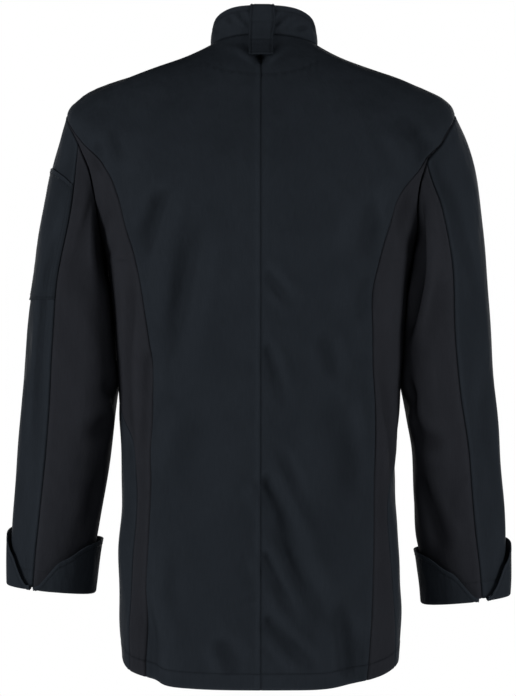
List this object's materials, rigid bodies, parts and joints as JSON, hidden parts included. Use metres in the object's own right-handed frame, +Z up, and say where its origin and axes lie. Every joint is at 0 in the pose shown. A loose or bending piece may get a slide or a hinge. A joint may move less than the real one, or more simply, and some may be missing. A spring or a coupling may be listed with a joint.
{
  "type": "chef jacket",
  "caption": "Long-sleeved chef jacket with a stand collar, princess seams, turned-back split cuffs and a sleeve pocket, hollow and filled out as if worn.",
  "frame": {"origin": "middle of the neck opening, level with the side neck points, where the wearer's shoulders hold the jacket", "axes": "+Z up, along the wearer's height; the front faces -Y; +X is the wearer's left"},
  "size_m": [0.6064, 0.2669, 0.7968],
  "materials": {
    "main_cloth": "blue-black twill with a soft satin sheen",
    "stretch_cloth": "warmer charcoal stretch cloth, matt",
    "button": "satin black"
  },
  "bodies": {
    "root": {"back_left": "main_cloth", "back_right": "main_cloth", "side_left": "stretch_cloth", "side_right": "stretch_cloth", "front_left": "main_cloth", "front_right": "main_cloth", "collar": "main_cloth", "collar_loop": "main_cloth", "sleeve_left_upper": "main_cloth", "sleeve_left_under": "stretch_cloth", "sleeve_right_upper": "main_cloth", "sleeve_right_under": "stretch_cloth", "cuff_left": "main_cloth", "cuff_right": "main_cloth", "pen_pocket": "main_cloth", "button_1_left": "button", "button_2_left": "button", "button_3_left": "button", "button_4_left": "button", "button_5_left": "button", "button_1_right": "button", "button_2_right": "button", "button_3_right": "button", "button_4_right": "button", "button_5_right": "button"}
  },
  "joints": []
}
